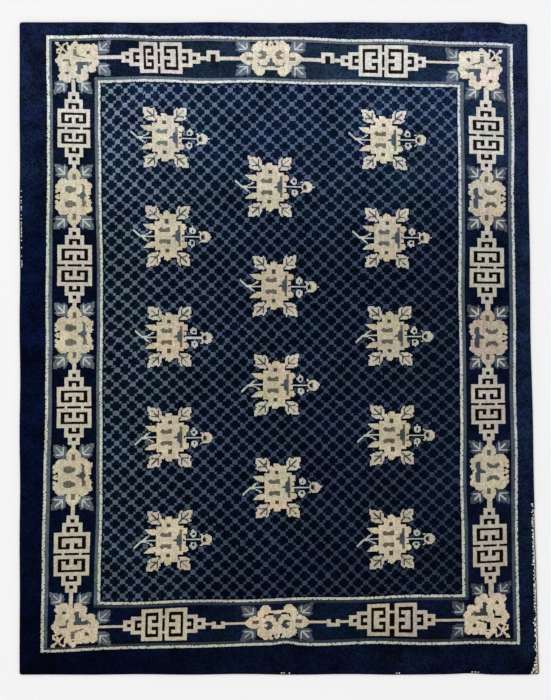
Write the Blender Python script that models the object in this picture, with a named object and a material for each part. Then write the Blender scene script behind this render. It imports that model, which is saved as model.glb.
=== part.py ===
"""A hand-knotted wool rug lying flat on the floor, as one closed solid.

The warps run along Y. The origin is on the floor under the middle of the rug, +X is to the right
and +Y is towards the head end. Metres, +Z up.
"""

import math

import bmesh
import bpy

# Whole rug
LENGTH = 2.352  # along the warps
FOOT_WIDTH = 1.874  # across the end at -Y
HEAD_WIDTH = 1.831  # across the end at +Y, which the loom drew in a little
THICKNESS = 0.010  # knotted base and pile together
CORNER_RADIUS = 0.005
CORNER_STEPS = 4
SIDE_STEPS = 36  # along each long side
END_STEPS = 32  # along each end

# The edge, from the outside in
CORD_RADIUS = 0.0025  # the cord that finishes the edge
CORD_STEPS = 5
PILE_START = 0.0045  # in from the edge, where the outermost pile stands
PILE_LEAN = 0.0050  # how much further in it reaches its full height
PILE_STEPS = 5

# How uneven the edges are
RIPPLE = 0.0024  # the most that the small in-and-out draws in any side
SIDE_BOW = 0.0070  # the right side is drawn in between its ends
HEAD_DIP = 0.0065  # the head end falls back beside its right corner
HEAD_DIP_START, HEAD_DIP_END = 0.935, 0.960  # as shares of the head, from its left corner
NICK = 0.0040  # a worn-back place in the foot end
NICK_CENTRE, NICK_HALF_WIDTH = 0.87, 0.03  # as shares of the foot, from its left corner

NAVY_WOOL = (0.012, 0.020, 0.055, 1.0)
PILE_ROUGHNESS = 0.95


def clear_scene():
    for thing in list(bpy.data.objects):
        bpy.data.objects.remove(thing, do_unlink=True)


def ripple(t, humps, phase):
    """How far the loom drew a side in at a share t of it, nothing at the side's two corners."""
    wave = 0.5 + 0.5 * math.sin(2 * math.pi * humps * t + phase)
    return -RIPPLE * math.sin(math.pi * t) * wave


def soft_step(t, start, end):
    """0 up to start, 1 from end on, smooth between them."""
    share = min(max((t - start) / (end - start), 0.0), 1.0)
    return share * share * (3 - 2 * share)


def foot_edge(t):
    """How far the foot end stands out at t, from its left corner to its right."""
    away = (t - NICK_CENTRE) / NICK_HALF_WIDTH
    return ripple(t, 5, 0.4) - NICK * math.exp(-away * away)


def right_edge(t):
    """The same for the right side, from the foot to the head."""
    return ripple(t, 4, 1.1) - SIDE_BOW * math.sin(math.pi * t)


def head_edge(t):
    """The same for the head end, from its right corner to its left."""
    return ripple(t, 4, 2.0) - HEAD_DIP * soft_step(1 - t, HEAD_DIP_START, HEAD_DIP_END)


def left_edge(t):
    """The same for the left side, from the head to the foot."""
    return ripple(t, 6, 0.0)


def side_points(start, end, edge, steps):
    """Points along one side of the rug, short of both corners by the corner's radius."""
    run = math.dist(start, end)
    along = [(end[k] - start[k]) / run for k in (0, 1)]
    outward = (along[1], -along[0])
    margin = CORNER_RADIUS / run
    points = []
    for i in range(steps + 1):
        t = margin + (1 - 2 * margin) * i / steps
        out = edge(t)
        points.append([start[k] + along[k] * run * t + outward[k] * out for k in (0, 1)])
    return points


def corner_points(before, corner, after):
    """Points round a corner, between the last point of one side and the first of the next."""
    points = []
    for i in range(1, CORNER_STEPS):
        t = i / CORNER_STEPS
        weights = ((1 - t) ** 2, 2 * t * (1 - t), t * t)
        points.append(
            [weights[0] * before[k] + weights[1] * corner[k] + weights[2] * after[k] for k in (0, 1)]
        )
    return points


def outline():
    """The rug's outer edge, anticlockwise from the left of the foot."""
    left, half = -FOOT_WIDTH / 2, LENGTH / 2
    corners = [(left, -half), (FOOT_WIDTH / 2, -half), (left + HEAD_WIDTH, half), (left, half)]
    edges = [foot_edge, right_edge, head_edge, left_edge]
    steps = [END_STEPS, SIDE_STEPS, END_STEPS, SIDE_STEPS]
    sides = [side_points(corners[i], corners[(i + 1) % 4], edges[i], steps[i]) for i in range(4)]
    points = []
    for i in range(4):
        following = (i + 1) % 4
        points += sides[i]
        points += corner_points(sides[i][-1], corners[following], sides[following][0])
    return points


def edge_profile():
    """(in from the edge, height): up over the edge cord, then up the outermost pile."""
    rows = []
    for i in range(CORD_STEPS + 1):
        angle = math.pi * i / CORD_STEPS
        rows.append((CORD_RADIUS * (1 - math.sin(angle)), CORD_RADIUS * (1 - math.cos(angle))))
    cord_top = 2 * CORD_RADIUS
    for i in range(PILE_STEPS + 1):
        angle = math.pi / 2 * i / PILE_STEPS
        inset = PILE_START + PILE_LEAN * (1 - math.cos(angle))
        rows.append((inset, cord_top + (THICKNESS - cord_top) * math.sin(angle)))
    return rows


def wool_material():
    material = bpy.data.materials.new("knotted wool")
    material.use_nodes = True
    shader = material.node_tree.nodes["Principled BSDF"]
    shader.inputs["Base Color"].default_value = NAVY_WOOL
    shader.inputs["Roughness"].default_value = PILE_ROUGHNESS
    shader.inputs["Metallic"].default_value = 0.0
    return material


def make_rug():
    """The edge profile carried round the outline, closed by a flat underside and a flat pile."""
    shape = bmesh.new()
    edge = outline()
    rings = []
    for inset, height in edge_profile():
        across = 1 - 2 * inset / FOOT_WIDTH
        along = 1 - 2 * inset / LENGTH
        rings.append([shape.verts.new((x * across, y * along, height)) for x, y in edge])
    count = len(edge)
    for lower, upper in zip(rings, rings[1:]):
        for i in range(count):
            j = (i + 1) % count
            shape.faces.new((lower[i], lower[j], upper[j], upper[i]))
    shape.faces.new(list(reversed(rings[0])))
    shape.faces.new(rings[-1])

    mesh = bpy.data.meshes.new("rug")
    shape.to_mesh(mesh)
    shape.free()
    mesh.shade_smooth()
    mesh.set_sharp_from_angle(angle=math.radians(35))
    mesh.materials.append(wool_material())
    rug = bpy.data.objects.new("rug", mesh)
    bpy.context.scene.collection.objects.link(rug)
    return rug


clear_scene()
make_rug()
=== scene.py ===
# %% [markdown]
# # A hand-knotted Chinese rug
# A wool pile rug is cloth and drawing at once: every knot is one dot of a squared-paper chart, tied
# on cotton warps in rows from the foot to the head. So this lesson draws the chart first, then turns
# each square of it into one small tuft top, and last adds the web under the pile and the overcast
# edge round it. The plain solid of the imported model gives the size and stays as the collision shape,
# hidden.

# %% Load the imported model
import math

import bpy
import numpy as np
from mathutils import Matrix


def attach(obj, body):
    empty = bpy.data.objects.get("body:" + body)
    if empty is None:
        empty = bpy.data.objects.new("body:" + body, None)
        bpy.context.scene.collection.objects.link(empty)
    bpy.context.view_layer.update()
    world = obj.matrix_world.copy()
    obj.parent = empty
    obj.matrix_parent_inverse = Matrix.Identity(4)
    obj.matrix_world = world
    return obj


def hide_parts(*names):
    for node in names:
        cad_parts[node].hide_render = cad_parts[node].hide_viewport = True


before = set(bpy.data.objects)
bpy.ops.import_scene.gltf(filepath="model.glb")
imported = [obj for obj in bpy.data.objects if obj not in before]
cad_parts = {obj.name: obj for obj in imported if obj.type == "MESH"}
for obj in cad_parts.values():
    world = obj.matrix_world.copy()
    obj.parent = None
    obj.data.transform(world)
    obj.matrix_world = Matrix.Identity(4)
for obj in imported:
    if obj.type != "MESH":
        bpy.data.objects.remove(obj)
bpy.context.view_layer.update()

# %% [markdown]
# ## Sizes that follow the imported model
# The rug's outline is drawn again here with the same few numbers as its solid: two ends, two long
# sides, a slow ripple from the loom, a bow in the right side, and two small faults in the ends.

# %% The rug's edge
LENGTH = 2.352
FOOT_WIDTH = 1.874
HEAD_WIDTH = 1.831
HALF = LENGTH / 2
LEFT = -FOOT_WIDTH / 2
PILE_HEIGHT = 0.0098
CORNER_RADIUS = 0.005
RIPPLE = 0.0024  # the most that the loom's in-and-out draws in any side
SIDE_BOW = 0.0070
HEAD_DIP = 0.0065  # the head end falls back beside its right corner
HEAD_DIP_START, HEAD_DIP_END = 0.935, 0.960
NICK = 0.0040  # a worn-back place in the foot end
NICK_CENTRE, NICK_HALF_WIDTH = 0.87, 0.03


def soft_step(t, start, end):
    """0 up to start, 1 from end on, smooth between them."""
    share = np.clip((t - start) / (end - start), 0, 1)
    return share * share * (3 - 2 * share)


def ripple(t, humps, phase):
    """How far the loom drew a side in, at a share t of it."""
    return -RIPPLE * np.sin(math.pi * t) * (0.5 + 0.5 * np.sin(2 * math.pi * humps * t + phase))


def left_x(v):
    """The left edge at a share v from the foot to the head."""
    return LEFT - ripple(1 - v, 6, 0.0)


def right_x(v):
    """The right edge at the same share."""
    straight = FOOT_WIDTH / 2 + (LEFT + HEAD_WIDTH - FOOT_WIDTH / 2) * v
    return straight + ripple(v, 4, 1.1) - SIDE_BOW * np.sin(math.pi * v)


def foot_y(u):
    """The foot end at a share u from left to right."""
    nick = NICK * np.exp(-(((u - NICK_CENTRE) / NICK_HALF_WIDTH) ** 2))
    return -HALF - ripple(u, 5, 0.4) + nick


def head_y(u):
    """The head end at the same share."""
    return HALF + ripple(1 - u, 4, 2.0) - HEAD_DIP * soft_step(u, HEAD_DIP_START, HEAD_DIP_END)


# %% The same edge, measured
share = np.linspace(0, 1, 201)
print("left and right:", round(float(left_x(share).min()), 4), round(float(right_x(share).max()), 4))
print("foot and head:", round(float(foot_y(share).min()), 4), round(float(head_y(share).max()), 4))


# %% [markdown]
# ## Camera and floor
# The rug lies flat and is looked at from straight above, so the camera hangs over its middle with a
# long lens, which keeps the sides from leaning. The floor is a plain pale sheet just under the web.

# %% Camera
VIEW_LENGTH = 2.520  # what the frame's long side takes in at the pile
CAMERA_HEIGHT = 9.0
CAMERA_X, CAMERA_Y = -0.0142, -0.0056  # a little off the rug's middle

camera_data = bpy.data.cameras.new("camera above the rug")
camera_data.sensor_fit = "VERTICAL"
camera_data.sensor_height = 36.0
camera_data.lens = camera_data.sensor_height * (CAMERA_HEIGHT - PILE_HEIGHT) / VIEW_LENGTH
camera_data.clip_end = 50
camera = bpy.data.objects.new("camera above the rug", camera_data)
camera.location = (CAMERA_X, CAMERA_Y, CAMERA_HEIGHT)
bpy.context.scene.collection.objects.link(camera)
bpy.context.scene.camera = camera
print("lens in mm:", round(camera_data.lens, 1))

# %% [markdown]
# ## Materials by hand
# Every finish here is wool or cotton. A colour is written as the hex value a paint chart gives, and
# one function turns it into the linear values that the renderer needs. One small function adds a
# node, sets it and wires it, so a material reads from top to bottom.

# %% Colours and nodes


def linear(hex_colour):
    """A colour such as c2b9a3 as linear red, green, blue and full alpha."""
    channels = [int(hex_colour[i : i + 2], 16) / 255 for i in (0, 2, 4)]
    curve = [c / 12.92 if c <= 0.04045 else ((c + 0.055) / 1.055) ** 2.4 for c in channels]
    return (*curve, 1.0)


def add(tree, kind, settings=None, **links):
    """Adds one node. settings are its properties, and links are its inputs by name or number."""
    node = tree.nodes.new(kind)
    for key, value in (settings or {}).items():
        setattr(node, key, value)
    for key, value in links.items():
        key = key.replace("_", " ")
        socket = node.inputs[int(key[2:])] if key[:2] == "in" and key[2:].isdigit() else node.inputs[key]
        if isinstance(value, bpy.types.NodeSocket):
            tree.links.new(value, socket)
        else:
            socket.default_value = value
    return node


def new_material(name, roughness, specular):
    """A material with an empty Principled shader, and that shader."""
    material = bpy.data.materials.new(name)
    material.use_nodes = True
    shader = material.node_tree.nodes["Principled BSDF"]
    shader.inputs["Roughness"].default_value = roughness
    shader.inputs["Specular IOR Level"].default_value = specular
    return material, shader


# %% [markdown]
# ## Dyed wool, with painted light
# A rug's yarns were dyed in lots and have faded since, and here the light on the rug is painted into
# its colours as well, so no colour is the same from end to end: it differs at the head, in the middle
# and at the foot, partly with the dye and partly as painted light that falls off from the head end,
# from side to side, with the dye and with painted light, and in the middle against both sides. It
# shifts in faint bars where a new lot of yarn began (weavers call that abrash), each tuft catches the
# light a little differently, painted sheen lies in streaks where the nap lies, and the dye took
# unevenly in clouds. All of that is mixed into one colour. Cut wool pile is nearly without gloss,
# because the eye looks into the ends of its fibres.

# %% The wool material


def wool(name, head, middle, foot, speckle=0.25, clouds=0.16, centre=(1.0, 1.0, 1.0)):
    """Wool pile. head, middle and foot are the colours there, each at the rug's left and right, and they
    hold painted light: lighter towards the head, where the light falls off, and changing from side to
    side with the light as well as the dye. centre multiplies red, green and blue half way between the
    two sides."""
    material, shader = new_material(name, roughness=0.95, specular=0.03)
    tree = material.node_tree
    place_on_rug = add(tree, "ShaderNodeTexCoord").outputs["Object"]
    axes = add(tree, "ShaderNodeSeparateXYZ", Vector=place_on_rug)
    across = add(tree, "ShaderNodeMapRange", Value=axes.outputs["X"], From_Min=LEFT, From_Max=-LEFT)
    # dye and painted light together: these colours grow lighter towards the head as the light falls off
    # from there, and change from side to side with the light as well as the dye
    dyes_and_painted_light = []
    for left, right in (foot, middle, head):
        dye_and_painted_light = add(tree, "ShaderNodeMix", {"data_type": "RGBA"}, in0=across.outputs[0],
                  in6=linear(left), in7=linear(right))
        dyes_and_painted_light.append(dye_and_painted_light.outputs[2])
    low = add(tree, "ShaderNodeMapRange", Value=axes.outputs["Y"], From_Min=-HALF, From_Max=0.0)
    high = add(tree, "ShaderNodeMapRange", {"interpolation_type": "SMOOTHSTEP"},
               Value=axes.outputs["Y"], From_Min=0.25, From_Max=1.0)
    dye_and_painted_light = add(tree, "ShaderNodeMix", {"data_type": "RGBA"}, in0=low.outputs[0], in6=dyes_and_painted_light[0], in7=dyes_and_painted_light[1])
    dye_and_painted_light = add(tree, "ShaderNodeMix", {"data_type": "RGBA"}, in0=high.outputs[0], in6=dye_and_painted_light.outputs[2],
              in7=dyes_and_painted_light[2])
    side = add(tree, "ShaderNodeMath", {"operation": "ABSOLUTE"}, in0=axes.outputs["X"])
    toward_middle = add(tree, "ShaderNodeMapRange", {"interpolation_type": "SMOOTHSTEP"}, Value=side.outputs[0],
               From_Min=0.10, From_Max=0.62)
    toward_middle = add(tree, "ShaderNodeMix", {"data_type": "RGBA"}, in0=toward_middle.outputs[0], in6=(*centre, 1.0),
               in7=(1.0, 1.0, 1.0, 1.0))
    dye_and_painted_light = add(tree, "ShaderNodeVectorMath", {"operation": "MULTIPLY"}, in0=dye_and_painted_light.outputs[2],
              in1=toward_middle.outputs[2])
    # bars of one lot of yarn, about 60 mm wide, that run across the rug
    bars = add(tree, "ShaderNodeMapping", Vector=place_on_rug, Scale=(1.4, 16.0, 1.0))
    abrash = add(tree, "ShaderNodeTexNoise", Vector=bars.outputs[0], Scale=1.0, Detail=3.0)
    knot = add(tree, "ShaderNodeAttribute", {"attribute_name": "tone"})
    # painted sheen: the nap lies in streaks along the warps, 10 mm wide and 65 mm long, and each
    # streak is lighter or darker as it catches the light
    streaks = add(tree, "ShaderNodeMapping", Vector=place_on_rug, Scale=(95.0, 15.0, 1.0))
    nap_sheen = add(tree, "ShaderNodeTexNoise", Vector=streaks.outputs[0], Scale=1.0, Detail=2.0)
    # clouds 110 mm wide, with ever smaller ones in them
    cloud = add(tree, "ShaderNodeTexNoise", Vector=place_on_rug, Scale=9.0, Detail=6.0, Roughness=0.78)
    strength = 1.0
    for value, least, most, by in ((abrash.outputs[0], 0.3, 0.7, 0.1),
                                   (knot.outputs["Fac"], 0.0, 1.0, speckle),
                                   (nap_sheen.outputs[0], 0.3, 0.7, 0.1),
                                   (cloud.outputs[0], 0.37, 0.63, clouds)):
        change = add(tree, "ShaderNodeMapRange", Value=value, From_Min=least, From_Max=most,
                     To_Min=1 - by, To_Max=1 + by)
        product = add(tree, "ShaderNodeMath", {"operation": "MULTIPLY"}, in0=strength,
                      in1=change.outputs[0])
        strength = product.outputs[0]
    colour = add(tree, "ShaderNodeVectorMath", {"operation": "SCALE"}, in0=dye_and_painted_light.outputs[0])
    tree.links.new(strength, colour.inputs["Scale"])
    # a little more of one dye here and of another there
    tint = add(tree, "ShaderNodeTexNoise", Vector=place_on_rug, Scale=6.0, Detail=5.0, Roughness=0.7)
    tint = add(tree, "ShaderNodeMapRange", {"data_type": "FLOAT_VECTOR"}, Vector=tint.outputs["Color"])
    uneven = 0.04 + clouds / 5
    # these inputs share their names with the plain number's, so they go by number: from, to
    for socket, value in ((7, 0.37), (8, 0.63), (9, 1 - uneven), (10, 1 + uneven)):
        tint.inputs[socket].default_value = (value, value, value)
    tinted = add(tree, "ShaderNodeVectorMath", {"operation": "MULTIPLY"}, in0=colour.outputs[0],
                 in1=tint.outputs[1])
    tree.links.new(tinted.outputs[0], shader.inputs["Base Color"])
    # tuft ends about 2.3 mm apart, two to a knot
    tips = add(tree, "ShaderNodeTexNoise", Vector=place_on_rug, Scale=430.0, Detail=2.0)
    bump = add(tree, "ShaderNodeBump", Height=tips.outputs[0], Strength=0.5, Distance=0.0008)
    tree.links.new(bump.outputs[0], shader.inputs["Normal"])
    return material


# %% [markdown]
# The yarns of this rug, in the order of the numbers that the chart will use. The ground of the
# outer band, the border and the field are three lots of indigo, and the lighter blues were dipped
# only once or twice. The undyed yarns differ too: whitest in the guard stripes, a little less white
# in the frets and the sprays' leaves and buds, and creamiest in the flowers. The dark yarn is a brown
# mordanted with iron, nearly black. Where the edge has worn through, the cotton of the web shows.

# %% The yarns
(NONE, BAND, BORDER, FIELD, LATTICE, STRIPE, DUSK, GUARD, BONE, IVORY, LEAF, STEEL, PALE, SMOKE,
 MOSS, DARK, BARE) = range(17)
# each yarn's colours at the head, in the middle and at the foot, left and right, hold painted light:
# lighter towards the head as the light falls off, and changing from side to side with the light as well as
# the dye
YARNS = {
    BAND: wool("indigo wool pile, outer band", ("111b35", "1c2641"), ("040c27", "132138"),
               ("010516", "080f23"), 0.70, 0.60),
    BORDER: wool("indigo wool pile, border", ("0d1526", "1f2e47"), ("04091d", "071024"),
                 ("040d21", "090f22"), 0.60, 0.45, centre=(1.4, 1.5, 1.25)),
    FIELD: wool("indigo wool pile, field", ("0f2136", "0d1c36"), ("06121f", "030a1b"),
                ("030b18", "020615"), 0.60, 0.40, centre=(0.66, 0.70, 0.80)),
    LATTICE: wool("slate blue wool pile, lattice", ("808d9f", "475775"), ("606c79", "1a253c"),
                  ("4a5562", "10172b"), 0.32, 0.18, centre=(0.66, 0.72, 0.84)),
    STRIPE: wool("slate blue wool pile, stripes", ("65707a", "5f6977"), ("5a6468", "465059"),
                 ("455057", "343e4a")),
    DUSK: wool("dark slate wool pile, stripes at the foot", ("2b3439", "2a323a"),
               ("2b3439", "2a323a"), ("2b3439", "2a323a")),
    GUARD: wool("undyed wool pile, guard stripes", ("dde1d9", "d3d9dc"), ("c2c4b9", "bcbebb"),
                ("b3b2a2", "b2b4aa"), 0.22, 0.06),
    BONE: wool("undyed wool pile, frets and leaves", ("d6d2ca", "d9d6d0"), ("c0baae", "b1aba0"),
               ("b6ab96", "aaa08e"), 0.18, 0.05),
    IVORY: wool("undyed wool pile, flowers", ("d6cebd", "dfd7c6"), ("c1b69e", "aea28f"),
                ("bcb096", "c9bca3"), 0.22, 0.08, centre=(1.02, 1.02, 1.00)),
    LEAF: wool("slate blue wool pile, leaves", ("6c7880", "5e6a76"), ("60686d", "474e57"),
               ("565c61", "2c3440")),
    STEEL: wool("dark slate wool pile", ("56636c", "4d5865"), ("4a545a", "44474f"),
                ("43494c", "34373f")),
    PALE: wool("pale blue wool pile", ("c6ced0", "c2c9cc"), ("b4bab6", "b8b6ad"),
               ("a8aca4", "969a99"), 0.16, 0.06),
    SMOKE: wool("olive grey wool pile", ("7c8074", "726f68"), ("666357", "59564b"),
                ("5c594d", "54504a")),
    MOSS: wool("dark olive wool pile", ("5c6054", "54534b"), ("48463c", "403c33"),
               ("403d33", "393429")),
    DARK: wool("brown-black wool pile", ("1b1c1f", "1a1a1e"), ("110c0a", "0c0909"),
               ("0e0908", "0a0606")),
    BARE: wool("undyed cotton, worn bare", ("cac7bd", "cac7bd"), ("c6c2b6", "ccc8be"),
               ("c2bcae", "ccc8bc"), 0.45, 0.08),
}
print("yarns:", len(YARNS))

# %% [markdown]
# ## The chart
# A knotter works from squared paper. Chart is such a sheet: a grid of yarn numbers with its origin
# in the middle, and a few ways to colour squares in. One square is one knot, about 4.7 mm across
# and 4.3 mm along, so a shape drawn here is stepped in the way that a knotted shape is.

# %% Squared paper


class Chart:
    """Squared paper, one square to a knot: x goes right and y goes towards the head."""

    def __init__(self, across, along, ground=NONE):
        self.yarn = np.full((along, across), ground, np.uint8)
        x = np.arange(across) - (across - 1) / 2
        y = np.arange(along) - (along - 1) / 2
        self.x, self.y = np.meshgrid(x, y)

    def disc(self, yarn, x, y, wide, tall):
        """An oval."""
        inside = (2 * (self.x - x) / wide) ** 2 + (2 * (self.y - y) / tall) ** 2 <= 1
        self.yarn[inside] = yarn

    def box(self, yarn, x, y, wide, tall):
        """A rectangle."""
        inside = (abs(self.x - x) < wide / 2) & (abs(self.y - y) < tall / 2)
        self.yarn[inside] = yarn

    def line(self, yarn, width, *points):
        """A line with round ends through the points."""
        near = np.full(self.yarn.shape, np.inf)
        for (x0, y0), (x1, y1) in zip(points, points[1:]):
            dx, dy = x1 - x0, y1 - y0
            t = np.clip(((self.x - x0) * dx + (self.y - y0) * dy) / (dx * dx + dy * dy), 0, 1)
            near = np.minimum(near, np.hypot(self.x - x0 - t * dx, self.y - y0 - t * dy))
        self.yarn[near <= width / 2] = yarn

    def blade(self, yarn, wide, start, end):
        """A pointed oval from start to end."""
        dx, dy = end[0] - start[0], end[1] - start[1]
        t = ((self.x - start[0]) * dx + (self.y - start[1]) * dy) / (dx * dx + dy * dy)
        aside = abs((self.x - start[0]) * dy - (self.y - start[1]) * dx) / math.hypot(dx, dy)
        self.yarn[aside <= wide / 2 * (1 - (2 * t - 1) ** 2)] = yarn

    def outline(self, yarn):
        """One knot of a darker yarn round all that is drawn so far."""
        drawn = np.pad(self.yarn != NONE, 1)
        grown = drawn.copy()
        for shift, axis in ((1, 0), (-1, 0), (1, 1), (-1, 1)):
            grown |= np.roll(drawn, shift, axis)
        self.yarn[(grown & ~drawn)[1:-1, 1:-1]] = yarn

    def stamp(self, motif, x, y, turns=0, flip=False):
        """Copies a motif here, its middle on (x, y): flipped left to right, then turned.
        The motif's ground covers no line or motif that is there already."""
        knots = motif.yarn[:, ::-1] if flip else motif.yarn
        knots = np.rot90(knots, -turns)
        rows, columns = knots.shape
        r0 = round(y + (self.yarn.shape[0] - rows) / 2)
        c0 = round(x + (self.yarn.shape[1] - columns) / 2)
        part = self.yarn[r0 : r0 + rows, c0 : c0 + columns]
        free = np.isin(part, (BORDER, FIELD, LATTICE)) | ~np.isin(knots, (BORDER, FIELD))
        copied = (knots != NONE) & free
        part[copied] = knots[copied]


# %% [markdown]
# ## Flowers and leaves
# The rug has three drawings of the peony: a spray in the field, a flower seen from the side in the
# border, and one that turns the corner. All of them stand before leaves of three lobes, so the leaf
# comes first. Each flower is built like the real drawing, from round petals laid over each other,
# and a little chance in the hand keeps two of a kind from being the same, as on any knotted rug.

# %% A leaf of three lobes


def leaf(m, yarn, vein, root, sx, sy, wide, tall, stalk=False):
    """A leaf from its root to a corner wide and tall away. sx and sy are 1 or -1, the way it points."""

    def at(a, b):
        return root[0] + a * wide * sx, root[1] + b * tall * sy

    m.blade(yarn, 0.78 * wide, at(0.0, 0.0), at(1.05, 1.05))
    m.blade(yarn, 0.50 * wide, at(0.20, -0.10), at(0.24, 1.04))
    m.blade(yarn, 0.50 * wide, at(-0.10, 0.20), at(1.04, 0.24))
    fork = at(0.26, 0.30)
    for end in (at(0.74, 0.76), at(0.24, 0.78), at(0.78, 0.26)):
        m.line(vein, 1.05, fork, end)
    if stalk:
        m.line(vein, 1.05, fork, at(0.0, 0.0))


# %% The spray of the field


def spray(hand, rising=False):
    """A peony on its side: its flower in the middle, its twig to the left, its bud to the right."""
    m = Chart(92, 62)

    def near(x, y, by=0.35):
        return x + hand.uniform(-by, by), y + hand.uniform(-by, by)

    # the twig forks into three where it reaches the flower, and the flower is dark behind it
    fall = -1 if rising else 1
    for side in (1, -1):
        m.disc(DARK, -11.4, side * 2.2, 4.0, 3.2)
    m.line(PALE, 1.4, (-26.3, 4.9 * fall), (-21.0, -0.1 * fall))
    m.line(PALE, 1.2, (-21.0, -0.1 * fall), (-15.8, -4.2 * fall))
    m.line(PALE, 1.05, (-20.6, 0.2 * fall), (-17.2, 0.8 * fall), (-13.0, 3.4 * fall))
    m.line(PALE, 1.05, (-20.0, -0.6 * fall), (-10.6, -0.6 * fall))
    # stem, two leaves, the bud and its horns
    stem = hand.uniform(-1.1, 0.5)
    m.line(PALE, 1.05, (12, stem), (26, stem))
    for side in (1, -1):
        x, y = near(19.2, stem + side * 5.1, 0.4)
        m.disc(PALE, x, y, 5.2, 5.6)
        m.line(PALE, 1.2, (x, y), (x, y + side * 3.3))
        m.box(DARK, x, y - side * 0.4, 1.4, 2.4)
        m.line(BONE, 1.2, (24.8, stem + side * 4.5), (26.4, stem + side * 3.2))
    m.disc(BONE, 29.0, stem, 8.4, 9.2)
    m.line(BONE, 1.2, (32.0, stem), (hand.uniform(32.6, 34.4), stem + 0.5))
    m.disc(SMOKE, 27.6, stem, 3.8, 4.8)
    m.disc(DARK, 27.2, stem, 2.2, 3.2)
    # the flower: body, a round petal above and below, petals on the right, sepals on the left
    for side in (1, -1):
        m.box(IVORY, 0.6, side * 5.8, 21.4, 12.0)
        m.box(IVORY, 0.3, side * 13.2, 13.6, 9.2)
        m.disc(IVORY, *near(-0.4, side * 17.2, 0.3), 6.2, 6.6)
        m.disc(IVORY, *near(12.1, side * 7.4), 5.4, 5.8)
        m.disc(IVORY, 11.4, side * 2.6, 3.8, 3.8)
        m.blade(IVORY, 4.6, (-6.0, side * 5.4), (-18.6, side * 9.4))
        m.line(PALE, 1.1, (-15.8, side * 8.5), (-18.4, side * 9.4))
        m.disc(DARK, -11.4, side * 10.8, 3.0, 2.4)
        m.disc(DARK, 12.4, side * 10.8, 2.6, 2.2)
        for way, root in ((1, 7.0), (-1, -6.4)):
            wide, tall = near(10.0, 10.7, 0.4)
            leaf(m, BONE, MOSS, (root, side * 14.2), way, side, wide, tall, stalk=True)
        m.disc(DARK, -3.9, side * 18.4, 1.8, 2.2)
        m.disc(DARK, 3.4, side * 18.8, 1.6, 2.0)
        x, y = near(-0.1, side * 12.4)
        m.box(MOSS, x, y, 3.0, 3.4)
        # a long spot, with its ends turned away from the middle
        m.box(SMOKE, -2.2, side * 4.5, 8.4, 2.8)
        m.disc(SMOKE, -5.0, side * 5.4, 3.4, 4.0)
        m.disc(SMOKE, 0.6, side * 5.4, 3.4, 4.0)
        m.line(SMOKE, 1.8, (9.0, side * 8.2), (9.0, side * 3.4))
    # the throat: an upright bar, thick in the middle, with a point to the left
    m.disc(STEEL, 7.8, 0, 4.6, 10.0)
    m.line(STEEL, 2.0, (7.0, -0.4), (4.4, -0.4))
    m.outline(FIELD)
    return m


# %% The peony of the border


def border_peony(hand, heart="round", spot=SMOKE, fold=SMOKE):
    """A peony from the side. Its stamens point left, to the edge, its cleft right, to the field.
    heart says how the two spots in it are drawn: round, narrow or bitten."""
    m = Chart(34, 66)

    def near(x, y, by=0.3):
        return x + hand.uniform(-by, by), y + hand.uniform(-by, by)

    for side in (1, -1):
        for way in (1, -1):
            wide, tall = near(10.4, 11.4, 0.4)
            leaf(m, LEAF, PALE, (way * 4.8, side * 15.6), way, side, wide, tall)
        # end bud on the line that joins the flowers and lanterns
        m.blade(IVORY, 11.0, (0.2, side * 10), (0.2, side * 25))
        m.disc(IVORY, 0.2, side * 16.2, 9.6, 10.4)
    for side in (1, -1):
        m.box(IVORY, -0.8, side * 6.5, 22.6, 15)
        m.disc(IVORY, *near(-8.2, side * 11.0), 9.4, 8.4)
        m.disc(IVORY, *near(7.4, side * 12.0), 9.2, 7.2)
        if heart == "bitten":
            m.disc(IVORY, 11.2, side * 9.2, 7.6, 8.2)
        else:
            m.disc(IVORY, *near(12.4, side * 9.6), 5.4, 5.6)
            m.disc(IVORY, *near(11.6, side * 4.6), 6.0, 6.2)
        for y in (8.6, 4.6):
            m.disc(IVORY, -12.8, side * y, 4.2, 4.2)
        m.box(SMOKE, 0.4, side * 16.4, 3.2, 4.8)
    # stamens, and the cleft on the other side
    m.disc(IVORY, -13.2, 0, 4.0, 3.6)
    for x, y in ((-12.2, 2.8), (-11.4, 0.4), (-12.2, -2.9)):
        m.box(DARK, x, y, 1.4, 1.6)
    if heart != "bitten":
        m.disc(IVORY, 10.8, 0, 4.4, 4.4)
    # two spots, with a bite out of the side that is turned away from the middle
    for side in (1, -1):
        if heart == "bitten":
            m.disc(spot, -2.8, side * 6.8, 7.8, 7.0)
            m.disc(IVORY, -2.6, side * 9.4, 3.8, 4.0)
        elif heart == "narrow":
            m.disc(SMOKE, -2.8, side * 6.2, 9.8, 6.6)
            m.disc(IVORY, -3.2, side * 9.0, 7.6, 5.2)
        else:
            m.disc(SMOKE, -2.8, side * 6.3, 9.4, 6.4)
            m.disc(IVORY, 0.2, side * 9.0, 2.6, 1.8)
    # the folded petal between them, thick and pointed in the middle, and its thin ends
    if heart == "bitten":
        for side in (1, -1):
            m.line(fold, 1.5, (4.4, side * 10.2), (6.2, side * 9.2), (6.9, side * 6.4), (6.9, side * 3.0))
        m.line(STEEL, 3.0, (5.8, 2.0), (5.8, -2.0))
        m.line(STEEL, 2.6, (3.8, 0.8), (3.8, -0.8))
        m.line(STEEL, 1.4, (2.4, 0.0), (0.8, 0.0))
    elif heart == "narrow":
        m.line(STEEL, 4.0, (8.8, 7.4), (8.4, 2.0), (8.8, -7.0))
        m.line(STEEL, 2.6, (6.4, 0.4), (4.2, 0.2))
    else:
        m.line(SMOKE, 1.9, (7.4, 10.4), (8.3, 8.6), (8.3, 4.4))
        m.disc(SMOKE, 8.1, -4.9, 3.2, 7.4)
        m.disc(STEEL, 7.4, 1.2, 4.8, 7.0)
        m.line(STEEL, 2.2, (6.4, 1.0), (3.9, 0.8))
    m.outline(BORDER)
    return m


# %% The peony of the corners


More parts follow.
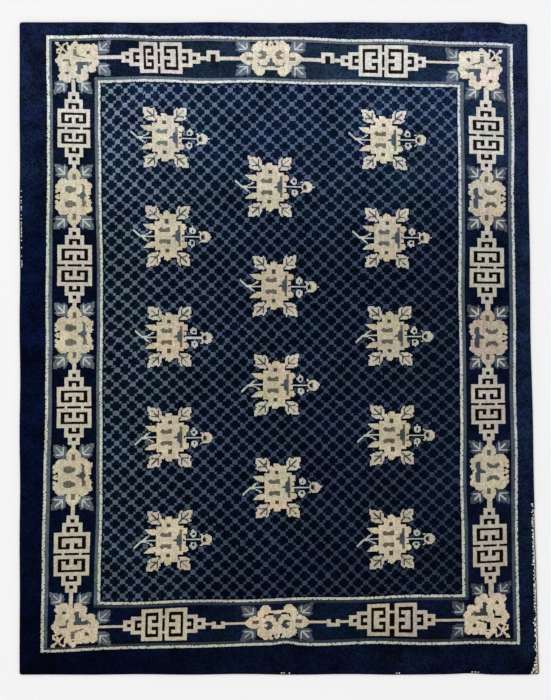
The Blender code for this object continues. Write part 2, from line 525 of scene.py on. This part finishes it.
def corner_peony(spot=SMOKE):
    """For the lower left corner: it opens into the rug, and its ribbon curls into the corner."""
    m = Chart(64, 64)
    for x, y, sx, sy in ((-8.8, 13.2, -1, 1), (0.8, 12.6, 1, 1), (16.2, -2.2, 1, 1), (16.8, -9.4, 1, -1)):
        leaf(m, LEAF, PALE, (x, y), sx, sy, 10.4, 10.8)
    petals = (  # each with its middle and its width
        (-1.2, -18.2, 5.0), (-4.8, -14.4, 6.0), (3.4, -15.0, 6.6), (9.2, -14.8, 6.4),
        (13.8, -14.2, 6.4), (14.2, -8.4, 6.2), (14.6, -2.4, 6.2), (12.2, 2.6, 6.6),
        (5.8, 8.8, 6.6), (1.8, 12.0, 6.2), (-8.6, 12.0, 6.6), (-12.8, 10.2, 5.6),
        (-12.6, 4.0, 5.8), (-15.8, -3.6, 4.8), (-13.2, -6.2, 5.6), (-12.4, 0.0, 6.4),
    )
    for x, y, wide in petals:
        m.disc(IVORY, x, y, wide, wide * 1.06)
    m.disc(IVORY, -1.6, -2.2, 25.5, 26.5)
    m.box(IVORY, 4, -9, 19, 12)
    m.box(IVORY, -8, 5, 10, 12)
    m.outline(BORDER)
    # ribbon, dark between its loops
    m.disc(DARK, -10.4, -12.6, 6.0, 6.4)
    m.line(IVORY, 1.5, (-5.0, -8.0), (-12.4, -15.0), (-16.0, -18.4))
    m.line(IVORY, 1.5, (-7.0, -16.4), (-7.8, -19.0), (-10.4, -18.4), (-12.6, -14.6), (-14.0, -9.8))
    m.line(IVORY, 1.5, (-12.6, -14.6), (-16.0, -13.4), (-16.4, -10.8), (-14.0, -9.8), (-12.0, -9.6))
    m.disc(IVORY, -16.2, -18.6, 3.4, 3.4)
    # small spots, long spots with a thin tail, and the folded petal that opens towards the field
    m.disc(MOSS, -8.5, 7.2, 3.2, 3.2)
    m.disc(MOSS, 9.3, -10.8, 3.6, 3.0)
    m.box(spot, -9.2, -4.0, 5.6, 3.0)
    m.line(spot, 1.2, (-6.4, -3.6), (-5.8, 1.6))
    m.box(spot, -1.6, -11.2, 3.6, 6.2)
    m.line(spot, 1.4, (-0.4, -8.4), (3.6, -7.4), (6.2, -6.4))
    m.line(SMOKE, 3.2, (6.0, -1.2), (9.2, -1.0))
    m.line(STEEL, 3.2, (0.4, -1.4), (7.2, -1.4))
    m.line(STEEL, 3.6, (1.6, 0.0), (1.2, 6.4))
    m.disc(STEEL, 3.0, 0.8, 5.0, 5.0)
    return m


# %% [markdown]
# ## The fret lanterns
# Between the flowers hang lanterns of straight bars. Each has two rooms with a key in them, and
# steps at both ends. Nearly all of the bars are three knots wide. The rooms' length differs from
# lantern to lantern, and with it the last bar of the key, because the knotter had to come out even.

# %% A lantern and the crank beside it


def lantern(upper=16, lower=16, gap=2):
    """The lantern upright, with the lengths of its two rooms and of the gap between them in knots."""
    m = Chart(29, 74)
    m.box(DARK, 0, 0, 27, gap)
    for side in (1, -1):
        m.box(BONE, side * 6.5, 0, 3, gap)
    for end, room in ((1, upper), (-1, lower)):
        start = gap / 2
        top = start + room
        m.box(BONE, 0, end * (start + room / 2), 27, room)
        m.box(DARK, 0, end * (start + room / 2), 21, room - 6)
        m.box(BONE, 0, end * (start + room / 2), 15, room - 10)
        m.box(DARK, 0, end * (start + 6.5), 9, 3)
        m.box(BONE, 0, end * (start + 5.5), 3, 5)
        m.box(BONE, 0, end * (top + 4), 15, 8)
        m.box(DARK, 0, end * (top + 2.5), 9, 5)
        m.box(BONE, 0, end * (top + 1.5), 3, 3)
        m.box(BONE, 0, end * (top + 11), 9, 6)
        m.box(DARK, 0, end * (top + 9.5), 3, 3)
    m.outline(BORDER)
    return m


def crank(tall):
    """The kink in the line on either side of the flower in the middle of each end."""
    m = Chart(18, 20)
    m.box(BONE, 0, tall / 2 - 1.8, 9.4, tall)
    m.box(DARK, 0, tall / 2 - 3.6, 3.4, tall - 1.4)
    m.outline(BORDER)
    return m


# %% [markdown]
# ## The whole chart
# The sheet is as wide and long as the rug has knots: a plain band, a guard stripe of three ivory
# and two slate knots, the border, a second guard stripe the other way round, and the field. The
# field's ground is a lattice that repeats every twelve knots: squares of four knots, staggered, with
# a square of two knots between each and the next along the diagonals, so that they hang together by
# their corners. The knotter's count slipped here and there, so the lattice drifts by a knot or two.

# %% Bands, stripes and lattice
COLUMNS, ROWS = 402, 550
CUTS_ACROSS = (0, 21, 24, 26, 61, 63, 66, 344, 347, 349, 384, 386, 389, 402)
CUTS_ALONG = (0, 24, 27, 29, 60, 62, 65, 497, 500, 502, 533, 535, 538, 550)
rug = Chart(COLUMNS, ROWS, BAND)
for step, yarn in enumerate((GUARD, STRIPE, BORDER, STRIPE, GUARD, FIELD), start=1):
    columns = slice(CUTS_ACROSS[step], CUTS_ACROSS[-1 - step])
    rows = slice(CUTS_ALONG[step], CUTS_ALONG[-1 - step])
    rug.yarn[rows, columns] = yarn

# the stripes across the foot are knotted in a darker yarn, whose colour holds painted shade where
# the light falls off towards the foot
for step in (2, 4):
    stripe = rug.yarn[CUTS_ALONG[step] : CUTS_ALONG[step + 1], CUTS_ACROSS[step] : CUTS_ACROSS[-1 - step]]
    stripe[stripe == STRIPE] = DUSK
# one dark row lies inside the outer stripes at the foot and at the head
rug.yarn[[CUTS_ALONG[3], CUTS_ALONG[-4] - 1], CUTS_ACROSS[3] : CUTS_ACROSS[-4]] = DARK
# worn guard stripes have ragged sides
beside = np.zeros(rug.yarn.shape, bool)
for shift, axis in ((1, 0), (-1, 0), (1, 1), (-1, 1)):
    beside |= np.roll(rug.yarn, shift, axis) != GUARD
ragged = np.random.default_rng(3).random(rug.yarn.shape) < 0.18
rug.yarn[(rug.yarn == GUARD) & beside & ragged] = STRIPE

drift_x = 1.6 * np.sin(rug.x / 38 + rug.y / 90) + 0.5 * np.sin(rug.y / 17 + rug.x / 60)
drift_y = 1.1 * np.sin(rug.y / 52 + rug.x / 70) + 0.5 * np.sin(rug.x / 15 - rug.y / 80)
lattice = np.zeros(rug.yarn.shape, bool)
for shift in (0, 6):
    dx = abs((rug.x + drift_x - 3 - shift) % 12 - 6)
    dy = abs((rug.y + drift_y - shift) % 12 - 6)
    lattice |= (dx < 2.0) & (dy < 2.0)
    lattice |= (abs(dx - 3) < 1.0) & (abs(dy - 3) < 1.0)
field = np.zeros(rug.yarn.shape, bool)
field[CUTS_ALONG[6] + 1 : CUTS_ALONG[7] - 1, CUTS_ACROSS[6] + 1 : CUTS_ACROSS[7] - 1] = True
rug.yarn[field & lattice] = LATTICE
print("knots in the rug:", rug.yarn.size, "of which lattice:", int((field & lattice).sum()))

# %% Motifs in their places, counted in knots from the middle of the rug
hand = np.random.default_rng(11)
LEFT_LINE, RIGHT_LINE, HEAD_LINE, FOOT_LINE = -157.5, 166.0, 243.5, -231.0
corner = corner_peony()
rug.stamp(corner, -153.7, 236.8, turns=2, flip=True)
rug.stamp(corner, 161.3, 235.6, turns=2)
rug.stamp(corner, -153.9, -225.8)
rug.stamp(corner_peony(spot=DARK), 161.6, -224.7, flip=True)
rug.line(BONE, 3.0, (LEFT_LINE, -214), (LEFT_LINE, 224))
rug.line(BONE, 3.0, (RIGHT_LINE, -213), (RIGHT_LINE, 223))
rug.line(BONE, 2.0, (-138, HEAD_LINE), (110, HEAD_LINE), (146, HEAD_LINE + 0.8))
rug.line(BONE, 2.0, (-138, FOOT_LINE), (110, FOOT_LINE), (146, FOOT_LINE - 0.5))

# the twig of the last seven sprays rises instead of falling
SPRAYS = {
    "left": ((-85, 176), (-84, 94), (-83, 10.5), (-82.5, -73.5), (-82.5, -160)),
    "middle": ((-4, 135), (-1, 52), (0, -31), (1, -117)),
    "right": ((85.5, 176), (87.5, 93), (89.5, 10), (90, -74), (89, -161.5)),
}
for row, first_rising in (("left", 3), ("middle", 2), ("right", 2)):
    for i, (x, y) in enumerate(SPRAYS[row]):
        rug.stamp(spray(hand, rising=i >= first_rising), x, y)

for y, room in ((184, 15), (70, 16), (-48, 16), (-170, 17)):
    rug.stamp(lantern(room, room), LEFT_LINE, y)
for y, room in ((182, 15), (69, 16), (-48, 16), (-169, 17)):
    rug.stamp(lantern(room, room), RIGHT_LINE - 0.5, y)
rug.stamp(lantern(14, 17), -89, HEAD_LINE, turns=1)
rug.stamp(lantern(18, 18), 85, HEAD_LINE, turns=1)
rug.stamp(lantern(16, 17), -86, FOOT_LINE, turns=1)
rug.stamp(lantern(17, 17, gap=4), 89, FOOT_LINE, turns=1)
for x in (-47, 41.5):
    rug.stamp(crank(8.6), x, HEAD_LINE)
for x in (-43.5, 44.5):
    rug.stamp(crank(5.6), x, FOOT_LINE, turns=2)

for y in (127, 12.5, -105.5):
    rug.stamp(border_peony(hand), -158.5, y)
for y in (128, 9, -106.5):
    rug.stamp(border_peony(hand, heart="narrow"), 166, y, flip=True)
rug.stamp(border_peony(hand, heart="bitten"), -2.3, HEAD_LINE, turns=-1)
rug.stamp(border_peony(hand, heart="bitten", spot=STEEL, fold=DARK), 0.7, FOOT_LINE, turns=1)

# %% Worn places along the edge
fray = np.random.default_rng(5).random(rug.yarn.shape)
strips = np.clip((rug.x - 198.4) / 2.4, 0, 0.8)  # more of them gone the nearer to the edge
right_side = (rug.y > -258) & (rug.y < -134) & (fray < strips)
left_side = (rug.x < -200) & (rug.y > 68) & (rug.y < 134) & (fray < 0.45)
foot_corner = (rug.x > 196.0 + 0.25 * (rug.y + 275)) & (rug.y < -259) & (fray < 0.85)
worn = right_side | left_side | foot_corner
for x in (7.5, 94, 153):
    worn |= (abs(rug.x - x) < 3.5) & (rug.y < -273.6) & (fray < 0.6)
rug.yarn[worn] = BARE
print("chart drawn:", {name: int((rug.yarn == name).sum()) for name in YARNS})

# %% [markdown]
# ## From squares to tufts
# No hand-knotted rug is true. The weaver beats one row harder than the next, the warps spread as
# the rug leaves the loom, and the stripes wander. So each line between two parts of the chart gets
# its own place at the head, in the middle and at the foot of the rug (or at the left, middle and
# right of it), in millimetres from the middle of the rug, and a smooth curve joins the three.

# %% Where the chart's lines lie on the rug
STRIPES_ACROSS = {
    "head": (-838, -828, -820, -673, -660, -652, 642, 651, 664, 821, 830, 840),
    "middle": (-842, -832, -819, -657, -646, -636, 648, 658, 670, 829, 842, 851),
    "foot": (-865, -854, -842, -675, -661, -651, 662, 672, 684, 844, 856, 866),
}
STRIPES_ALONG = {
    "left": (-1098, -1089, -1082, -941, -929, -919, 956, 966, 980, 1109, 1117, 1128),
    "middle": (-1070, -1061, -1050, -919, -909, -900, 954, 963, 972, 1103, 1112, 1121),
    "right": (-1066, -1057, -1047, -899, -887, -877, 930, 939, 951, 1078, 1086, 1095),
}
GROUPS = (0, 0, 0, 1, 1, 1, 2, 2, 2, 3, 3, 3)  # lines that wander together
SWAY, HEAVE = 0.0014, 0.0018  # how far the stripes along the sides and along the ends wander
KINK = 0.008  # the lowest stripe jumps up and back at one place
KINK_CENTRE, KINK_HALF_WIDTH = 0.52, 0.02


def through(low, middle, high, t):
    """A smooth curve through three values, at t = 0, 0.5 and 1."""
    return low * (1 - t) * (1 - 2 * t) + middle * 4 * t * (1 - t) + high * t * (2 * t - 1)


def wander(group, t, size):
    """The small wandering of a stripe along its run, in metres."""
    slow = np.sin(2 * math.pi * (2.7 + 0.4 * group) * t + 1.9 * group + 0.6)
    quick = np.sin(2 * math.pi * (8.3 - 0.7 * group) * t + 2.3 * group)
    return size * (slow + 0.45 * quick)


def between(where, cuts, lines):
    """Places squares between lines: where is in knots, cuts are the lines' knots."""
    result = np.zeros(np.broadcast(where, lines[0]).shape)
    for a, b, start, end in zip(cuts, cuts[1:], lines, lines[1:]):
        share = (where - a) / (b - a)
        inside = (where >= a) & (where <= b)
        result = np.where(inside, start + (end - start) * share, result)
    return result


def place(columns, rows, inset):
    """Where corners of the chart's squares lie on the rug. inset is from the rug's edge."""
    u, v = columns / COLUMNS, rows / ROWS
    across = [left_x(v) + inset]
    for k, group in enumerate(GROUPS):
        ends = [STRIPES_ACROSS[name][k] / 1000 for name in ("foot", "middle", "head")]
        across.append(through(*ends, v) + wander(group, v, SWAY))
    across.append(right_x(v) - inset)
    along = [foot_y(u) + inset]
    for k, group in enumerate(GROUPS):
        ends = [STRIPES_ALONG[name][k] / 1000 for name in ("left", "middle", "right")]
        kink = KINK * np.exp(-(((u - KINK_CENTRE) / KINK_HALF_WIDTH) ** 2)) if group == 0 else 0
        along.append(through(*ends, u) + wander(group + 4, u, HEAVE) + kink)
    along.append(head_y(u) - inset)
    x = between(columns, CUTS_ACROSS, across)
    y = between(rows, CUTS_ALONG, along)
    return round_corners(x, y, u, v, inset)


def round_corners(x, y, u, v, inset):
    """Draws the squares beside the rug's four corners in under their round edge."""
    radius = CORNER_RADIUS
    left, right = left_x(v) + inset, right_x(v) - inset
    foot, head = foot_y(u) + inset, head_y(u) - inset
    side = np.where(u < 0.5, -1, 1)
    end = np.where(v < 0.5, -1, 1)
    a = 1 - np.where(u < 0.5, x - left, right - x) / radius
    b = 1 - np.where(v < 0.5, y - foot, head - y) / radius
    near = (a > 0) & (b > 0)
    a, b = np.clip(a, 0, 1), np.clip(b, 0, 1)
    pull_x = radius * (a - a * np.sqrt(1 - b * b / 2))
    pull_y = radius * (b - b * np.sqrt(1 - a * a / 2))
    return np.where(near, x - side * pull_x, x), np.where(near, y - end * pull_y, y)


# %% [markdown]
# ## The pile
# Each knot's two ends are clipped level and fluff out into one soft square, so a square of the
# chart becomes one small face, a little higher or lower than the next. Ivory yarn is thick and
# stands proud, the iron-dyed dark yarn has corroded and lies lower, and the last tufts lean over
# the edge. The rug is cut into six blocks, each closed at its sides and under it, because a
# single mesh of all the tufts would be too heavy to handle.

# %% Heights of the tufts
PILE_INSET = 0.0042  # the last tufts stand this far in from the rug's edge
UNLEVEL = 0.00022  # how far a corner of a tuft is off the level, and off its line
CROOKED = 0.0005
EDGE_DROP = 0.0034  # the tufts at the edge lean over it
dice = np.random.default_rng(23)
STANDING = {GUARD: 0.0002, BONE: 0.0003, IVORY: 0.0003, PALE: 0.0001, SMOKE: -0.0002, MOSS: -0.0004,
            DARK: -0.0006, BARE: -0.0030}
levels = np.full(rug.yarn.shape, PILE_HEIGHT - 0.0002)
for yarn, extra in STANDING.items():
    levels[rug.yarn == yarn] += extra
padded = np.pad(levels, 1, mode="edge")
corners_z = (padded[:-1, :-1] + padded[1:, :-1] + padded[:-1, 1:] + padded[1:, 1:]) / 4
corners_z += dice.uniform(-UNLEVEL, UNLEVEL, corners_z.shape)
corner_c, corner_r = np.meshgrid(np.arange(COLUMNS + 1.0), np.arange(ROWS + 1.0))
edge_steps = np.minimum.reduce([corner_c, COLUMNS - corner_c, corner_r, ROWS - corner_r])
corners_z -= EDGE_DROP * np.clip(1 - edge_steps / 2, 0, 1) ** 2
corners_x, corners_y = place(corner_c, corner_r, PILE_INSET)
for corners in (corners_x, corners_y):  # no tuft stands quite in line
    corners += dice.uniform(-CROOKED, CROOKED, corners.shape) * np.clip(edge_steps, 0, 1)
tone = dice.uniform(0, 1, rug.yarn.shape)
print("pile from", round(float(corners_z.min()), 4), "to", round(float(corners_z.max()), 4), "m")

# %% One closed block of pile
PILE_BASE = 0.0030


def grid_block(name, x, y, top, low, yarns, tones, over=True):
    """A closed block over a grid of corners. The grid is its top, or its underside if over is False."""
    rows, columns = x.shape
    number = np.arange(rows * columns).reshape(rows, columns)
    face = top if over else low
    other = low if over else top
    points = np.stack([x, y, np.broadcast_to(face, x.shape)], axis=-1).reshape(-1, 3)
    ring = np.concatenate([number[0, :-1], number[:-1, -1], number[-1, :0:-1], number[:0:-1, 0]])
    rim = points[ring].copy()
    rim[:, 2] = other
    count = len(ring)
    below = len(points) + np.arange(count)
    quads = np.stack([number[:-1, :-1], number[:-1, 1:], number[1:, 1:], number[1:, :-1]], axis=-1)
    quads = quads.reshape(-1, 4)
    walls = np.stack([ring, below, np.roll(below, -1), np.roll(ring, -1)], axis=-1)
    cap = below[::-1]
    if not over:
        quads, walls, cap = quads[:, ::-1], walls[:, ::-1], cap[::-1]
    loops = np.concatenate([quads.ravel(), walls.ravel(), cap]).astype(np.int32)
    starts = np.concatenate([np.arange(len(quads) + len(walls)) * 4, [len(loops) - count]])
    mesh = bpy.data.meshes.new(name)
    mesh.vertices.add(len(points) + count)
    mesh.vertices.foreach_set("co", np.concatenate([points, rim]).ravel())
    mesh.loops.add(len(loops))
    mesh.loops.foreach_set("vertex_index", loops)
    mesh.polygons.add(len(starts))
    mesh.polygons.foreach_set("loop_start", starts.astype(np.int32))
    mesh.update(calc_edges=True)
    used = sorted(set(int(k) for k in np.unique(yarns)))
    for yarn in used:
        mesh.materials.append(YARNS[yarn])
    slots = np.zeros(len(starts), np.int32)
    slots[: len(quads)] = np.searchsorted(used, yarns.ravel())
    slots[len(quads) :] = slots[0]
    mesh.polygons.foreach_set("material_index", slots)
    shade = np.full(len(starts), 0.5, np.float32)
    shade[: len(quads)] = tones.ravel()
    mesh.attributes.new("tone", "FLOAT", "FACE").data.foreach_set("value", shade)
    flat_map(mesh, points, ring, len(quads), loops)
    mesh.validate()
    block = bpy.data.objects.new(name, mesh)
    bpy.context.scene.collection.objects.link(block)
    return block


def flat_map(mesh, points, ring, quads, loops):
    """A plan view as the UV map. Walls fold out a little, and the hidden cap goes to one corner."""
    low, high = points[:, :2].min(axis=0), points[:, :2].max(axis=0)
    plan = 0.01 + 0.97 * (points[:, :2] - low) / (high - low)
    rim = plan[ring] + 0.006 * np.sign(plan[ring] - 0.495) * (abs(plan[ring] - 0.495) > 0.48)
    plan = np.concatenate([plan, rim])
    uv = plan[loops]
    walls_end = (quads + len(ring)) * 4
    uv[walls_end:] = 0.992 + 0.006 * plan[loops[walls_end:]]
    mesh.uv_layers.new(name="OFBake").data.foreach_set("uv", uv.astype(np.float32).ravel())


# %% Six blocks of pile
FIELD_LEFT, FIELD_RIGHT = CUTS_ACROSS[6:8]
FIELD_FOOT, FIELD_HEAD = CUTS_ALONG[6:8]
FIELD_MIDDLE = (FIELD_FOOT + FIELD_HEAD) // 2
BLOCKS = {  # the columns and the rows from which, and up to which, each block goes
    "pile_left_border": (0, FIELD_LEFT, 0, ROWS),
    "pile_right_border": (FIELD_RIGHT, COLUMNS, 0, ROWS),
    "pile_foot_border": (FIELD_LEFT, FIELD_RIGHT, 0, FIELD_FOOT),
    "pile_head_border": (FIELD_LEFT, FIELD_RIGHT, FIELD_HEAD, ROWS),
    "pile_field_foot_half": (FIELD_LEFT, FIELD_RIGHT, FIELD_FOOT, FIELD_MIDDLE),
    "pile_field_head_half": (FIELD_LEFT, FIELD_RIGHT, FIELD_MIDDLE, FIELD_HEAD),
}
pile = []
for name, (c0, c1, r0, r1) in BLOCKS.items():
    box = (slice(r0, r1 + 1), slice(c0, c1 + 1))
    squares = (slice(r0, r1), slice(c0, c1))
    block = grid_block(name, corners_x[box], corners_y[box], corners_z[box], PILE_BASE,
                       rug.yarn[squares], tone[squares])
    pile.append(block)
    print(name, "knots:", (c1 - c0) * (r1 - r0))

# %% [markdown]
# ## The web and the back
# Under the pile lies the web: cotton warps and wefts that hold the knots. Seen from below, each
# knot shows as a small flat loop of its own yarn, so the back carries the same drawing as the
# face, only flatter. Here it is one thin closed sheet with every second knot drawn.

# %% The web
WEB_TOP = 0.0045
WEB_INSET = 0.0026
half_c, half_r = np.meshgrid(np.arange(0, COLUMNS + 1.0, 2), np.arange(0, ROWS + 1.0, 2))
web_x, web_y = place(half_c, half_r, WEB_INSET)
web = grid_block("knotted_web", web_x, web_y, WEB_TOP, 0.0, rug.yarn[::2, ::2], tone[::2, ::2], over=False)
print("web faces:", len(web.data.polygons))

# %% [markdown]
# ## The overcast edge
# All round, the rug ends in a thin cord of warps wrapped with navy yarn. The wraps lean, a few
# millimetres apart, and repeat some sixteen hundred times, so a small Geometry Nodes tree makes them:
# it resamples the edge's path, sets one ring on each point, turns it to follow the path and
# leans it. Where the rug has worn thin, at the lower right, the navy has gone from nearly all of
# the wraps and the undyed cotton shows: a stored yes or no on each ring picks its material.

# %% The path of the edge


def edge_path(inset, step=0.008):
    """Points round the rug, anticlockwise from the left of the foot, inset from its edge."""
    steps_x, steps_y = int(FOOT_WIDTH / step), int(LENGTH / step)
    u = np.linspace(0, COLUMNS, steps_x + 1)
    v = np.linspace(0, ROWS, steps_y + 1)
    sides = [(u[:-1], 0 * u[:-1]), (0 * v[:-1] + COLUMNS, v[:-1]), (u[:0:-1], 0 * u[:0:-1] + ROWS),
             (0 * v[:0:-1], v[:0:-1])]
    columns = np.concatenate([side[0] for side in sides])
    rows = np.concatenate([side[1] for side in sides])
    x, y = place(columns, rows, inset)
    return np.stack([x, y], axis=-1)


CORD_RADIUS = 0.0023
CORD_INSET = 0.0025
CORD_HEIGHT = 0.0026
path = edge_path(CORD_INSET)
path_mesh = bpy.data.meshes.new("edge path")
links = [(i, (i + 1) % len(path)) for i in range(len(path))]
path_mesh.from_pydata([(x, y, CORD_HEIGHT) for x, y in path], links, [])
edge = bpy.data.objects.new("overcast_edge", path_mesh)
bpy.context.scene.collection.objects.link(edge)
print("edge path:", len(path), "points,", round(float(np.hypot(*np.diff(path, axis=0).T).sum()), 2), "m")

# %% Finishes of the edge


def yarn_finish(name, colour, roughness, spacing_mm):
    """Spun yarn seen from close by: its plies show as fine slanting noise, spacing_mm apart."""
    material, shader = new_material(name, roughness, specular=0.08)
    tree = material.node_tree
    place_on_rug = add(tree, "ShaderNodeTexCoord").outputs["Object"]
    plies = add(tree, "ShaderNodeTexNoise", Vector=place_on_rug, Scale=1000 / spacing_mm, Detail=3.0)
    wear = add(tree, "ShaderNodeTexNoise", Vector=place_on_rug, Scale=9.0, Detail=4.0)
    strength = add(tree, "ShaderNodeMapRange", Value=wear.outputs[0], From_Min=0.3, From_Max=0.7,
                   To_Min=0.75, To_Max=1.3)
    shade = add(tree, "ShaderNodeVectorMath", {"operation": "SCALE"}, in0=linear(colour)[:3])
    tree.links.new(strength.outputs[0], shade.inputs["Scale"])
    tree.links.new(shade.outputs[0], shader.inputs["Base Color"])
    bump = add(tree, "ShaderNodeBump", Height=plies.outputs[0], Strength=0.6, Distance=0.0004)
    tree.links.new(bump.outputs[0], shader.inputs["Normal"])
    return material


EDGE_WOOL = yarn_finish("indigo wool yarn, overcast", "0c1530", 0.9, 1.2)
COTTON = yarn_finish("undyed cotton warp, worn bare", "d4d0c6", 0.9, 0.8)

# %% Geometry Nodes: a ring of yarn on every step of the edge


def overcast_tree():
    """The tree, with its sizes and the place where the edge is worn as named inputs."""
    tree = bpy.data.node_groups.new("overcast edge", "GeometryNodeTree")
    face = tree.interface
    face.new_socket("Geometry", in_out="INPUT", socket_type="NodeSocketGeometry")
    for name in ("Pitch", "Radius", "Yarn", "Worn below", "Worn right of"):
        face.new_socket(name, in_out="INPUT", socket_type="NodeSocketFloat")
    face.new_socket("Geometry", in_out="OUTPUT", socket_type="NodeSocketGeometry")
    given = add(tree, "NodeGroupInput").outputs
    curve = add(tree, "GeometryNodeMeshToCurve", in0=given["Geometry"])
    steps = add(tree, "GeometryNodeResampleCurve", {"mode": "LENGTH"}, Curve=curve.outputs[0],
                Length=given["Pitch"])
    # one wrap: a ring of eight sides and three faces round
    loop = add(tree, "GeometryNodeCurvePrimitiveCircle", Resolution=8)
    tree.links.new(given["Radius"], loop.inputs["Radius"])
    strand = add(tree, "GeometryNodeCurvePrimitiveCircle", Resolution=3)
    tree.links.new(given["Yarn"], strand.inputs["Radius"])
    wrap = add(tree, "GeometryNodeCurveToMesh", Curve=loop.outputs[0])
    tree.links.new(strand.outputs[0], wrap.inputs["Profile Curve"])
    # turned across the path, then leant
    tangent = add(tree, "GeometryNodeInputTangent")
    turned = add(tree, "FunctionNodeAlignEulerToVector", {"axis": "Z"}, Vector=tangent.outputs[0])
    lean = add(tree, "FunctionNodeRotateEuler", {"rotation_type": "AXIS_ANGLE", "space": "OBJECT"},
               Axis=(1.0, 0.0, 0.0))
    tree.links.new(turned.outputs[0], lean.inputs["Rotation"])
    angle = add(tree, "FunctionNodeRandomValue", {"data_type": "FLOAT"}, Seed=5)
    angle.inputs[2].default_value = 0.25
    angle.inputs[3].default_value = 0.55
    tree.links.new(angle.outputs[1], lean.inputs["Angle"])
    rings = add(tree, "GeometryNodeInstanceOnPoints", Points=steps.outputs[0], Instance=wrap.outputs[0])
    tree.links.new(lean.outputs[0], rings.inputs["Rotation"])
    # which wraps have worn away
    where = add(tree, "ShaderNodeSeparateXYZ", Vector=add(tree, "GeometryNodeInputPosition").outputs[0])
    low = add(tree, "FunctionNodeCompare", {"operation": "LESS_THAN"}, in0=where.outputs[1],
              in1=given["Worn below"])
    right = add(tree, "FunctionNodeCompare", {"operation": "GREATER_THAN"}, in0=where.outputs[0],
                in1=given["Worn right of"])
    chance = add(tree, "FunctionNodeRandomValue", {"data_type": "BOOLEAN"}, Seed=8)
    chance.inputs["Probability"].default_value = 0.92
    both = add(tree, "FunctionNodeBooleanMath", in0=low.outputs[0], in1=right.outputs[0])
    worn = add(tree, "FunctionNodeBooleanMath", in0=both.outputs[0], in1=chance.outputs[3])
    stored = add(tree, "GeometryNodeStoreNamedAttribute", {"data_type": "BOOLEAN", "domain": "INSTANCE"},
                 Geometry=rings.outputs[0], Name="worn")
    tree.links.new(worn.outputs[0], stored.inputs["Value"])
    real = add(tree, "GeometryNodeRealizeInstances", Geometry=stored.outputs[0])
    mark = add(tree, "GeometryNodeInputNamedAttribute", {"data_type": "BOOLEAN"}, Name="worn")
    # the cord inside the wraps
    round_cord = add(tree, "GeometryNodeCurvePrimitiveCircle", Resolution=8, Radius=CORD_RADIUS * 0.86)
    core = add(tree, "GeometryNodeCurveToMesh", Curve=steps.outputs[0])
    tree.links.new(round_cord.outputs[0], core.inputs["Profile Curve"])
    # both are navy, and cotton where they have worn
    parts = add(tree, "GeometryNodeJoinGeometry")
    for geometry, bare_here in ((real.outputs[0], mark.outputs[0]), (core.outputs[0], both.outputs[0])):
        navy = add(tree, "GeometryNodeSetMaterial", Geometry=geometry, Material=EDGE_WOOL)
        bare = add(tree, "GeometryNodeSetMaterial", Geometry=navy.outputs[0], Material=COTTON)
        tree.links.new(bare_here, bare.inputs["Selection"])
        tree.links.new(bare.outputs[0], parts.inputs[0])
    add(tree, "NodeGroupOutput", in0=parts.outputs[0])
    return tree


def apply_tree(thing, tree, values):
    """Runs a Geometry Nodes tree on an object and keeps the result as its plain mesh."""
    modifier = thing.modifiers.new(tree.name, "NODES")
    modifier.node_group = tree
    for item in tree.interface.items_tree:
        if item.item_type == "SOCKET" and item.in_out == "INPUT" and item.name in values:
            modifier[item.identifier] = values[item.name]
    seen = thing.evaluated_get(bpy.context.evaluated_depsgraph_get())
    mesh = bpy.data.meshes.new_from_object(seen)
    thing.modifiers.remove(modifier)
    thing.data = mesh
    print(thing.name, "faces:", len(mesh.polygons))


WRAPS = {"Pitch": 0.0052, "Radius": 0.0019, "Yarn": 0.0007, "Worn below": -0.58, "Worn right of": 0.90}
apply_tree(edge, overcast_tree(), WRAPS)

# %% [markdown]
# ## Floor and light
# The floor is a matt pale sheet that reaches past the camera's view. The light is that of a plain
# studio: a pale room all round, and two large soft lamps, the stronger one beyond the head end.

# %% Floor
FLOOR_REACH = 15.0
FLOOR_LEVEL = -0.0005
floor_mesh = bpy.data.meshes.new("floor")
quarters = ((-1, -1), (1, -1), (1, 1), (-1, 1))
floor_corners = [(x * FLOOR_REACH, y * FLOOR_REACH, FLOOR_LEVEL) for x, y in quarters]
floor_mesh.from_pydata(floor_corners, [], [(0, 1, 2, 3)])
floor = bpy.data.objects.new("floor", floor_mesh)
bpy.context.scene.collection.objects.link(floor)
paint, paint_shader = new_material("matt white emulsion paint, rolled", 0.9, 0.1)
paint_tree = paint.node_tree
roller = add(paint_tree, "ShaderNodeTexNoise", Scale=60.0, Detail=2.0,
             Vector=add(paint_tree, "ShaderNodeTexCoord").outputs["Object"])
orange_peel = add(paint_tree, "ShaderNodeBump", Height=roller.outputs[0], Strength=0.05, Distance=0.001)
paint_tree.links.new(orange_peel.outputs[0], paint_shader.inputs["Normal"])
paint_shader.inputs["Base Color"].default_value = linear("f6f6f6")
floor_mesh.materials.append(paint)

# %% Light
world = bpy.data.worlds.new("pale room")
world.use_nodes = True
background = world.node_tree.nodes["Background"]
background.inputs["Color"].default_value = (1.0, 1.0, 1.0, 1.0)
background.inputs["Strength"].default_value = 0.78
bpy.context.scene.world = world
bpy.context.scene.view_settings.view_transform = "Standard"


def lamp(name, x, y, z, size, watts):
    """A square soft lamp that looks at the middle of the rug."""
    data = bpy.data.lights.new(name, "AREA")
    data.size = size
    data.energy = watts
    thing = bpy.data.objects.new(name, data)
    thing.location = (x, y, z)
    thing.rotation_euler = (-thing.location).to_track_quat("-Z", "Y").to_euler()
    bpy.context.scene.collection.objects.link(thing)


lamp("soft lamp beyond the head", 0.0, 7.5, 12.0, 6.0, 326)
lamp("soft lamp at the left", -9.0, -1.5, 10.5, 4.5, 202)

# %% [markdown]
# ## Hand over
# Every piece lies with the rug's one body. Together they stand for its plain solid, which is hidden.

# %% Pieces to the model
for piece in [*pile, web, edge]:
    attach(piece, "root")
    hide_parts("rug")
